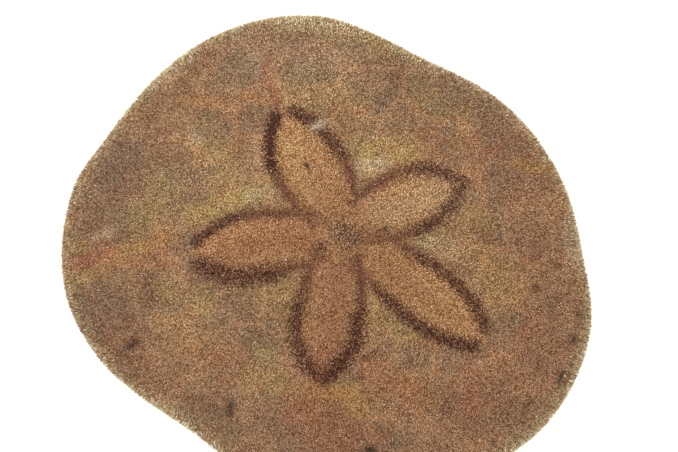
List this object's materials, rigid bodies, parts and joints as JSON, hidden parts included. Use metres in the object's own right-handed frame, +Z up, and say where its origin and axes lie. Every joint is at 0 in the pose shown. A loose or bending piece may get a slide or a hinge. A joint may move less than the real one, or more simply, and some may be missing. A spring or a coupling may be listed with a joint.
{
  "type": "sea biscuit",
  "caption": "Flat, lobed sea biscuit in its felt of short spines, with a low domed back, a flower of petals ringed by dark pore bands, and a flat underside with food grooves round the mouth.",
  "frame": {"origin": "on the resting plane, under the middle of the outline seen from above", "axes": "+Z up through the domed back, +Y towards the flattest side of the outline, +X to its right seen from above"},
  "size_m": [0.12, 0.11, 0.0191],
  "materials": {
    "spiny_skin": "matte felt of fine brown spines over a chalky shell"
  },
  "bodies": {
    "root": {"spiny_shell": "spiny_skin"}
  },
  "joints": []
}
